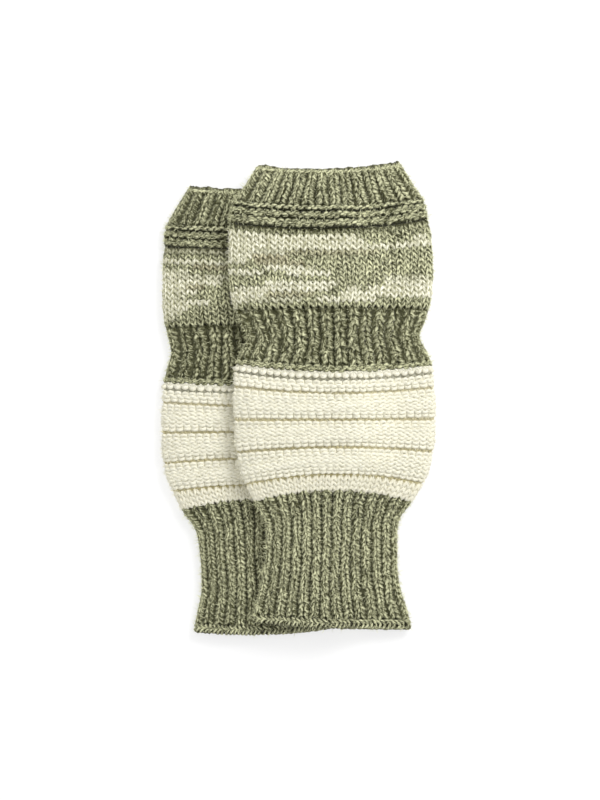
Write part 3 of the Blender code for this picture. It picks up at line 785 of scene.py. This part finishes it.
def cloth_piece(glove, name, band, start, end, material):
    """The backing cloth of a band: an outside that the loops lie on, and an inside."""
    marks = np.arange(0.0, STITCHES_ROUND, CLOTH_STEP)
    rows = max(FEWEST_RINGS, int(round((end - start) / CLOTH_ROW)) + 1)
    runs = np.linspace(start + SEAM / 2, end - SEAM / 2, rows)
    courses = courses_of(band) if band in BANDS else [(start, None, 0.0)]
    course_runs = [run for run, _, _ in courses]
    sinks = [sink for _, _, sink in courses]
    troughs = [KINDS[stretch.kind].trough if stretch else 0.0 for _, stretch, _ in courses]
    past_fold = np.minimum(marks - STITCHES_ACROSS, STITCHES_ROUND - marks)
    shown = 1.0 - smooth_step((past_fold - CLOTH_RISE) / CLOTH_RISE)
    depth = ARM_CLOTH_DEPTH if band == "cream_arm" else CLOTH_DEPTH
    rings, dyes, painted_shades = [], [], []
    for run in runs:
        outside, inside, facings = glove.at(np.full(len(marks), run), marks)
        # Painted shade on the cloth where it shows between the loops, none on the underside.
        painted_shades.append(shown * CLOTH_SHADE)
        sink = depth + np.interp(run, course_runs, sinks) * CLOTH_SINK
        dip = CLOTH_DIP * np.interp(run, course_runs, troughs) * trough(marks)
        sink = sink + dip * np.clip(TROUGH_FADE * facings[:, 2], 0.0, 1.0)
        share = np.minimum(shown * sink / WALL, CLOTH_REACH)[:, None]
        rings.append(outside + (inside - outside) * share)
        nearest = int(np.argmin(np.abs(np.array(course_runs) - run)))
        dyed = np.where(marks > CLOTH_DYED, -1.0, marks)
        dyes.append(dye_at(glove, band, nearest, dyed))
    inside_rows = max(FEWEST_RINGS, rows // INSIDE_SHARE)
    inner_runs = np.linspace(runs[-1], runs[0], inside_rows)
    for run in inner_runs:
        _, inside, _ = glove.at(np.full(len(marks), run), marks)
        rings.append(inside)
        dyes.append(np.zeros((len(marks), 3)))
        # Painted shade on the glove's inside.
        painted_shades.append(np.full(len(marks), INSIDE_SHADE))
    count, ring_count = len(marks), len(rings)
    point = np.arange(count)
    beside = (point + 1) % count
    ring = np.arange(ring_count)[:, None] * count
    next_ring = np.roll(ring, -1, axis=0)
    quads = [ring + point, ring + beside, next_ring + beside, next_ring + point]
    quads = np.stack(quads, axis=2).reshape(-1, 4)
    following = marks + CLOTH_STEP
    stitch = np.stack([marks, following, following, marks], axis=1)
    stitch = np.tile(stitch, (ring_count, 1))
    # The relief runs on over the end's rim and back along the inside.
    level = np.concatenate([runs, 2 * runs[-1] + WALL - inner_runs])
    level = np.append(level, level[-1] + WALL)
    low, high = np.repeat(level[:-1], count), np.repeat(level[1:], count)
    course = np.stack([low, low, high, high], axis=1) / COURSE_HEIGHT
    knit = np.stack([stitch, course], axis=2)
    number = np.repeat(np.arange(ring_count), count)
    v = np.stack([number, number, number + 1, number + 1], axis=1)
    bake = np.stack([stitch / STITCHES_ROUND, v / ring_count], axis=2)
    parts = MeshParts()
    parts.add(
        np.concatenate(rings),
        quads[:, ::-1],
        np.concatenate(dyes),
        np.concatenate(painted_shades),
        OFBake=bake[:, ::-1],
        knit=knit[:, ::-1],
    )
    return parts.piece(name, material)


# Materials, written as expressions

# Outputs of nodes, by their number.
MIXED_COLOUR = 2
VECTOR_ATTRIBUTE, NUMBER_ATTRIBUTE = 1, 2
OBJECT_PLACE = 3

# The wool's surface, and its noises as scale, detail and roughness.
WOOL = {
    "Roughness": 0.85,
    "Specular IOR Level": 0.25,
    "Sheen Weight": 0.15,
    "Sheen Roughness": 0.5,
}
BUMP_STRENGTH = 0.9
YARN_BUMP, CLOTH_BUMP = 0.0003, 0.0009  # metres
YARN_HEATHER, CLOTH_HEATHER = (1300.0, 1.0, 0.6), (750.0, 2.0, 0.7)
HEATHER_GAIN = 2.6
FIBRE_NOISE, FIBRE_GAIN = (1.0, 1.0, 0.5), 6.0
FIBRES_ALONG, FIBRES_ROUND = 3.2, 4.2
# How much the plies, the heather and the fibres count in the yarn's tone, and what is
# taken off. The plies' part is painted shade between them. The yarn is painted darker
# between the loops and on a strand's sides, as shade.
PLY_TONE, HEATHER_TONE, FIBRE_TONE, TONE_OFF = 0.40, 0.35, 1.10, 0.25
PLY_CURVE, OPEN_CURVE = 0.7, 1.15
SIDE_TONE, RIM_TONE, RIM_CURVE = 0.2, 0.8, 4.0
PLY_RELIEF, FIBRE_RELIEF = 0.7, 0.5
# The same for the cloth: its base, its stitches and its heather, and how its stitches'
# legs slant. Its stitches are painted lighter on top, with painted shade between them.
CLOTH_TONE, STITCH_TONE, CLOTH_HEATHER_TONE = 0.1, 0.6, 0.3
LEG_SLANT, LEG_CURVE, COLUMN_CURVE = 1.3, 0.5, 0.4
HEATHER_RELIEF = 0.3


def operation(name, is_swapped=False):
    """A method of Wire that works with a node, its values swapped if asked."""

    def method(self, *others):
        values = (*others, self) if is_swapped else (self, *others)
        inputs = {f"i{k}": value for k, value in enumerate(values)}
        return self.out("ShaderNodeMath", 0, {"operation": name}, **inputs)

    return method


class Wire:
    """A node's output, with arithmetic that adds the nodes it needs."""

    __add__, __radd__ = operation("ADD"), operation("ADD", True)
    __sub__, __rsub__ = operation("SUBTRACT"), operation("SUBTRACT", True)
    __mul__, __rmul__ = operation("MULTIPLY"), operation("MULTIPLY", True)
    __pow__ = operation("POWER")
    sine, size, fraction = operation("SINE"), operation("ABSOLUTE"), operation("FRACT")

    def __init__(self, tree, socket):
        self.tree, self.socket = tree, socket

    def node(self, kind, settings=None, **inputs):
        """Any other node: its type, its settings, then the values or links it takes."""
        node = self.tree.nodes.new(kind)
        for key, value in (settings or {}).items():
            setattr(node, key, value)
        for key, value in inputs.items():
            name = key.replace("_", " ")
            socket = node.inputs[int(key[1:])] if key[1:].isdigit() else node.inputs[name]
            if isinstance(value, Wire):
                self.tree.links.new(value.socket, socket)
            else:
                socket.default_value = value
        return node

    def out(self, kind, output=0, settings=None, **inputs):
        node = self.node(kind, settings, **inputs)
        return Wire(self.tree, node.outputs[output])

    def clamped(self):
        return self.out("ShaderNodeClamp", 0, None, Value=self)

    def blend(self, first, second):
        """first where this is 0 and second where it is 1, as colours."""
        settings = {"data_type": "RGBA"}
        return self.out("ShaderNodeMix", MIXED_COLOUR, settings, i0=self, i6=first, i7=second)

    def attribute(self, output, name):
        return self.out("ShaderNodeAttribute", output, {"attribute_name": name})

    def parts(self):
        """The x, y and z of this vector."""
        node = self.node("ShaderNodeSeparateXYZ", None, Vector=self)
        return [Wire(self.tree, socket) for socket in node.outputs]

    def noise(self, scale, detail, roughness):
        """A noise that is read at this place."""
        values = {"Vector": self, "Scale": scale, "Detail": detail, "Roughness": roughness}
        return self.out("ShaderNodeTexNoise", 0, None, **values)

    def stronger(self, gain):
        """This noise with its middle kept and its ups and downs made larger."""
        return ((self - 0.5) * gain + 0.5).clamped()


def set_inputs(node, values):
    for name, value in values.items():
        node.inputs[name].default_value = value


def start_material(name):
    material = bpy.data.materials.new(name)
    material.use_nodes = True
    shader = material.node_tree.nodes["Principled BSDF"]
    return material, Wire(material.node_tree, None), shader


def finish_wool(material, shader, colour, height, distance):
    tree = material.node_tree
    tree.links.new(colour.socket, shader.inputs["Base Color"])
    values = {"Strength": BUMP_STRENGTH, "Distance": distance, "Height": height}
    bump = colour.node("ShaderNodeBump", None, **values)
    tree.links.new(bump.outputs[0], shader.inputs["Normal"])
    set_inputs(shader, WOOL)
    return material


def dyed_colour(tree, ground, settings, tone):
    """The band's colour under its dyes, from its painted shaded to its painted lit end."""
    levels = tree.attribute(VECTOR_ATTRIBUTE, "dye").parts()
    ends = []
    for end in ("dark", "light"):
        colour = (*getattr(settings, f"{ground}_{end}"), 1.0)
        for level, shade in zip(levels, BAND_DYES[ground]):
            colour = level.blend(colour, (*getattr(settings, f"{shade}_{end}"), 1.0))
        ends.append(colour)
    return tone.blend(*ends)


def unshaded_share(tree):
    """1 less painted shade: 1 on the outermost wool and 0 deep between the loops."""
    return 1.0 - tree.attribute(NUMBER_ATTRIBUTE, "hollow")


def heathering(tree, noise):
    """Lighter and darker specks all through the wool."""
    return tree.out("ShaderNodeTexCoord", OBJECT_PLACE).noise(*noise).stronger(HEATHER_GAIN)


def yarn_wool(name, ground, settings):
    """Plied wool: twisted plies with painted shadows between them, and heathered fibres."""
    material, tree, shader = start_material(name)
    length, turn, _ = tree.out("ShaderNodeUVMap", 0, {"uv_map": "yarn"}).parts()
    twist = turn * settings.plies + length * (YARN_MAP * settings.plies / settings.twist)
    ply = (twist * math.pi).sine().size() ** PLY_CURVE
    heather = heathering(tree, YARN_HEATHER)
    along, around = length * FIBRES_ALONG, twist * FIBRES_ROUND
    slide = tree.out("ShaderNodeCombineXYZ", 0, None, X=along, Y=around)
    fibre = slide.noise(*FIBRE_NOISE).stronger(FIBRE_GAIN)
    # Painted shade: rim is 1 on a strand's outer top and 0 beneath it, so the sides are
    # painted darker, and the wool is painted darker the deeper it lies.
    rim = (turn * (2 * math.pi) + math.pi / 2).sine() * 0.5 + 0.5
    grain = PLY_TONE * ply + HEATHER_TONE * heather + FIBRE_TONE * fibre - TONE_OFF
    tone = unshaded_share(tree) ** OPEN_CURVE * grain * (SIDE_TONE + RIM_TONE * rim**RIM_CURVE)
    colour = dyed_colour(tree, ground, settings, tone.clamped())
    relief = ply * PLY_RELIEF + fibre * FIBRE_RELIEF
    return finish_wool(material, shader, colour, relief, YARN_BUMP)


def cloth_wool(name, ground, settings):
    """The same wool, its stitches small relief on a cloth with painted shade between."""
    material, tree, shader = start_material(name)
    wale, course, _ = tree.out("ShaderNodeUVMap", 0, {"uv_map": "knit"}).parts()
    off_centre = (wale.fraction() - 0.5).size()
    leg = ((course - off_centre * LEG_SLANT) * math.pi).sine().size() ** LEG_CURVE
    column = (off_centre * (2 * math.pi)).sine().size() ** COLUMN_CURVE
    height = leg * column
    heather = heathering(tree, CLOTH_HEATHER)
    tone = CLOTH_TONE + STITCH_TONE * height + CLOTH_HEATHER_TONE * heather
    colour = dyed_colour(tree, ground, settings, (unshaded_share(tree) * tone).clamped())
    relief = height + heather * HEATHER_RELIEF
    return finish_wool(material, shader, colour, relief, CLOTH_BUMP)


def wools(slot, settings):
    """The yarn and the cloth material of a slot, made once."""
    grounds = {"olive_yarn": "olive", "marled_yarn": "sage", "cream_yarn": "cream"}
    found = []
    for maker, word in ((yarn_wool, "yarn"), (cloth_wool, "cloth")):
        name = slot.replace("_yarn", "_wool_") + word
        found.append(bpy.data.materials.get(name) or maker(name, grounds[slot], settings))
    return found


# The pieces


def shown_stitches(glove, number, count, band):
    """First and last stitch of a course that is worked loop by loop."""
    if glove.name == "upper":
        return -TURNED_UNDER, STITCHES_ACROSS + TURNED_UNDER
    is_first = band == "finger_rib" and number < BARE_AT_FINGERS
    is_last = band == "cuff_rib" and number >= count - BARE_AT_CUFF
    if is_first or is_last:
        return -TURNED_UNDER, STITCHES_ACROSS + TURNED_UNDER
    return -TURNED_UNDER, LOWER_SHOWS


def make_band(glove, band, strands, span, cloth_end, slot, settings):
    """A band's loops and cloth, in their wool, on the root, with its solid hidden."""
    start, end = span
    node = f"{glove.name}_{band}"
    yarn, wool = wools(slot, settings)
    stitches = yarn_piece(f"{node}_stitches", strands, yarn, settings)
    cloth = cloth_piece(glove, f"{node}_cloth", band, start, cloth_end, wool)
    for piece in (cloth, stitches):
        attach(piece, "root")
    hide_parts(node)
    width, length = glove.girth((start + end) / 2) * MM, (end - start) * MM


def knit_band(glove, band, settings):
    start, end, slot, _ = BANDS[band]
    count = len(courses_of(band))
    strands = []
    for number in range(count):
        first, last = shown_stitches(glove, number, count, band)
        strands.append(knit_course(glove, band, number, first, last, settings))
    if band == "finger_rib":
        strands += wound_edge(glove, CAST_ON)
    make_band(glove, band, strands, (start, end), end, slot, settings)


def bind_off(glove, settings):
    strands, span = wound_edge(glove, BIND_OFF), (EDGE_START, EDGE_END)
    make_band(glove, "cuff_edge", strands, span, EDGE_CLOTH_END, "olive_yarn", settings)


# Settings, operators and the panel


def number_setting(name, description, default, least, most, **details):
    return bpy.props.FloatProperty(
        name=name, description=description, default=default, min=least, max=most, **details
    )


def colour_setting(name, description, default):
    return bpy.props.FloatVectorProperty(
        name=name, description=description, default=default, subtype="COLOR", min=0, max=1
    )


class GlovesSettings(bpy.types.PropertyGroup):
    """Sizes and colours of the gloves' yarn, and the light on them."""

    yarn_radius: number_setting(
        "Yarn radius", "Half the yarn's thickness, in millimetres", 0.98, 0.5, 1.5
    )
    loop_depth: number_setting(
        "Loop depth", "How far a loop swings through the cloth, in millimetres", 0.6, 0.2, 1.2
    )
    unevenness: number_setting(
        "Unevenness", "How much the stitches differ", 1.0, 0.0, 3.0, subtype="FACTOR"
    )
    plies: bpy.props.IntProperty(
        name="Plies", description="Strands twisted into the yarn", default=2, min=2, max=6
    )
    twist: number_setting(
        "Twist", "Length of one turn of the yarn's twist, in millimetres", 11.0, 2.0, 30.0
    )
    fuzz: number_setting("Fuzz", "Loose fibres to a stitch", 5.0, 0.0, 12.0)
    # Each colour has a painted lit end and a painted shaded end. The wool's tone mixes them:
    # partly its own heather and plies, partly painted light and shade.
    olive_light: colour_setting("Olive, lit", "Ribs and welts", (0.73, 0.733, 0.465))
    olive_dark: colour_setting("Olive, shaded", "Ribs and welts", (0.033, 0.033, 0.003))
    sage_light: colour_setting("Sage, lit", "Ground of the hand", (0.76, 0.76, 0.49))
    sage_dark: colour_setting("Sage, shaded", "Ground of the hand", (0.034, 0.035, 0.004))
    cream_light: colour_setting("Cream, lit", "Arm", (0.885, 0.862, 0.72))
    cream_dark: colour_setting("Cream, shaded", "Arm", (0.88, 0.85, 0.70))
    ecru_light: colour_setting("Ecru, lit", "First dye of the hand", (1.0, 0.98, 0.82))
    ecru_dark: colour_setting("Ecru, shaded", "First dye", (0.42, 0.41, 0.24))
    beige_light: colour_setting("Beige, lit", "Second dye", (0.66, 0.60, 0.42))
    beige_dark: colour_setting("Beige, shaded", "Second dye", (0.13, 0.105, 0.045))
    # Tan stands partly for the grooves' yarn and partly for painted shade in them.
    tan_light: colour_setting("Tan, lit", "Grooves of the arm", (0.80, 0.74, 0.48))
    tan_dark: colour_setting("Tan, shaded", "Grooves of the arm", (0.40, 0.34, 0.14))
    camera_height: number_setting(
        "Camera height", "Height of the camera over the table", 1.4, 0.5, 5.0, unit="LENGTH"
    )
    sky: number_setting("Sky", "Strength of the even light", 0.8, 0.0, 5.0)
    key: number_setting("Key", "Power of the large lamp, in watts", 9.0, 0.0, 500.0)


class KnitsBand:
    """What the operators that knit one band of both gloves share."""

    bl_options = {"REGISTER", "UNDO"}
    band = ""

    def execute(self, context):
        for glove in (LOWER, UPPER):
            knit_band(glove, self.band, context.scene.gloves)
        return {"FINISHED"}


class GLOVES_OT_finger_rib(KnitsBand, bpy.types.Operator):
    """Knit the ribs at the fingers, with their wound cast-on edge"""

    bl_idname = "gloves.finger_rib"
    bl_label = "Finger Ribs"
    band = "finger_rib"


class GLOVES_OT_finger_welts(KnitsBand, bpy.types.Operator):
    """Knit the two purl welts under the finger ribs"""

    bl_idname = "gloves.finger_welts"
    bl_label = "Finger Welts"
    band = "finger_welts"


class GLOVES_OT_marled_hand(KnitsBand, bpy.types.Operator):
    """Knit the hands, plain, in yarn that changes from cream to sage"""

    bl_idname = "gloves.marled_hand"
    bl_label = "Marled Hands"
    band = "marled_hand"


class GLOVES_OT_wrist_rib(KnitsBand, bpy.types.Operator):
    """Knit the ribs that draw in the wrists"""

    bl_idname = "gloves.wrist_rib"
    bl_label = "Wrist Ribs"
    band = "wrist_rib"


class GLOVES_OT_cream_arm(KnitsBand, bpy.types.Operator):
    """Knit the cream arms, in purl welts between tan grooves"""

    bl_idname = "gloves.cream_arm"
    bl_label = "Cream Arms"
    band = "cream_arm"


class GLOVES_OT_cuff_rib(KnitsBand, bpy.types.Operator):
    """Knit the long ribbed cuffs"""

    bl_idname = "gloves.cuff_rib"
    bl_label = "Cuff Ribs"
    band = "cuff_rib"


class GLOVES_OT_cuff_edge(bpy.types.Operator):
    """Bind off the cuffs with a slanted, rope-like edge"""

    bl_idname = "gloves.cuff_edge"
    bl_label = "Cuff Edges"
    bl_options = {"REGISTER", "UNDO"}

    def execute(self, context):
        for glove in (LOWER, UPPER):
            bind_off(glove, context.scene.gloves)
        return {"FINISHED"}


# The photograph's height in pixels, its scale, and where its centre lies.
FRAME_HEIGHT = 800
METRES_PER_PIXEL = 0.000532
FRAME_CENTRE = (0.0009, 0.0009)
SENSOR = 36.0
NEAREST_SEEN = 0.05

WHITE = (1.0, 1.0, 1.0, 1.0)
FLOOR_SIZE, FLOOR_DROP = 8.0, 0.0001  # metres, the second that it lies under the gloves
FLOOR = {
    "Base Color": (0.42, 0.42, 0.42, 1.0),
    "Roughness": 0.9,
    "Specular IOR Level": 0.0,
    "Emission Color": WHITE,
    "Emission Strength": 0.62,
}
LAMP_SIZE, LAMP_PLACE = 0.5, (0.55, 0.75, 0.75)


def make_floor():
    bpy.ops.mesh.primitive_plane_add(size=FLOOR_SIZE, location=(0.0, 0.0, -FLOOR_DROP))
    floor = bpy.context.object
    floor.name = "floor"
    material, _, shader = start_material("pale_floor")
    set_inputs(shader, FLOOR)
    floor.data.materials.append(material)


def make_lights(settings):
    world = bpy.data.worlds.new("soft_sky")
    world.use_nodes = True
    sky = world.node_tree.nodes["Background"]
    set_inputs(sky, {"Color": WHITE, "Strength": settings.sky})
    bpy.context.scene.world = world
    lamp = bpy.data.lights.new("key", "AREA")
    lamp.shape = "SQUARE"
    lamp.size = LAMP_SIZE
    lamp.energy = settings.key
    key = bpy.data.objects.new("key", lamp)
    bpy.context.scene.collection.objects.link(key)
    key.location = LAMP_PLACE
    key.rotation_mode = "QUATERNION"
    key.rotation_quaternion = (-key.location).to_track_quat("-Z", "Y")


def make_camera(settings):
    """A camera straight above, with the photograph's scale at half the gloves' height."""
    camera = bpy.data.objects.new("camera", bpy.data.cameras.new("camera"))
    bpy.context.scene.collection.objects.link(camera)
    camera.location = (*FRAME_CENTRE, settings.camera_height)
    camera.data.sensor_width = SENSOR
    reach = settings.camera_height - PACKED_BOX[1].z / 2
    camera.data.lens = SENSOR * reach / (FRAME_HEIGHT * METRES_PER_PIXEL)
    camera.data.clip_start = NEAREST_SEEN
    bpy.context.scene.camera = camera


class GLOVES_OT_stage(bpy.types.Operator):
    """Lay out the table, the lights and the camera"""

    bl_idname = "gloves.stage"
    bl_label = "Stage"
    bl_options = {"REGISTER", "UNDO"}

    def execute(self, context):
        settings = context.scene.gloves
        make_floor()
        make_lights(settings)
        make_camera(settings)
        context.scene.view_settings.view_transform = "Standard"
        return {"FINISHED"}


OPERATORS = (
    GLOVES_OT_stage,
    GLOVES_OT_finger_rib,
    GLOVES_OT_finger_welts,
    GLOVES_OT_marled_hand,
    GLOVES_OT_wrist_rib,
    GLOVES_OT_cream_arm,
    GLOVES_OT_cuff_rib,
    GLOVES_OT_cuff_edge,
)


class GLOVES_PT_panel(bpy.types.Panel):
    """The gloves' settings and the operators that make them"""

    bl_idname = "GLOVES_PT_panel"
    bl_label = "Knitted Gloves"
    bl_space_type = "VIEW_3D"
    bl_region_type = "UI"
    bl_category = "Gloves"

    def draw(self, context):
        for name in GlovesSettings.__annotations__:
            self.layout.prop(context.scene.gloves, name)
        for operator in OPERATORS:
            self.layout.operator(operator.bl_idname)


CLASSES = (GlovesSettings, *OPERATORS, GLOVES_PT_panel)


def register():
    for cls in CLASSES:
        bpy.utils.register_class(cls)
    bpy.types.Scene.gloves = bpy.props.PointerProperty(type=GlovesSettings)


def unregister():
    del bpy.types.Scene.gloves
    for cls in reversed(CLASSES):
        bpy.utils.unregister_class(cls)


def main():
    register()
    for operator in OPERATORS:
        group, name = operator.bl_idname.split(".")
        getattr(getattr(bpy.ops, group), name)()


if __name__ == "__main__":
    main()
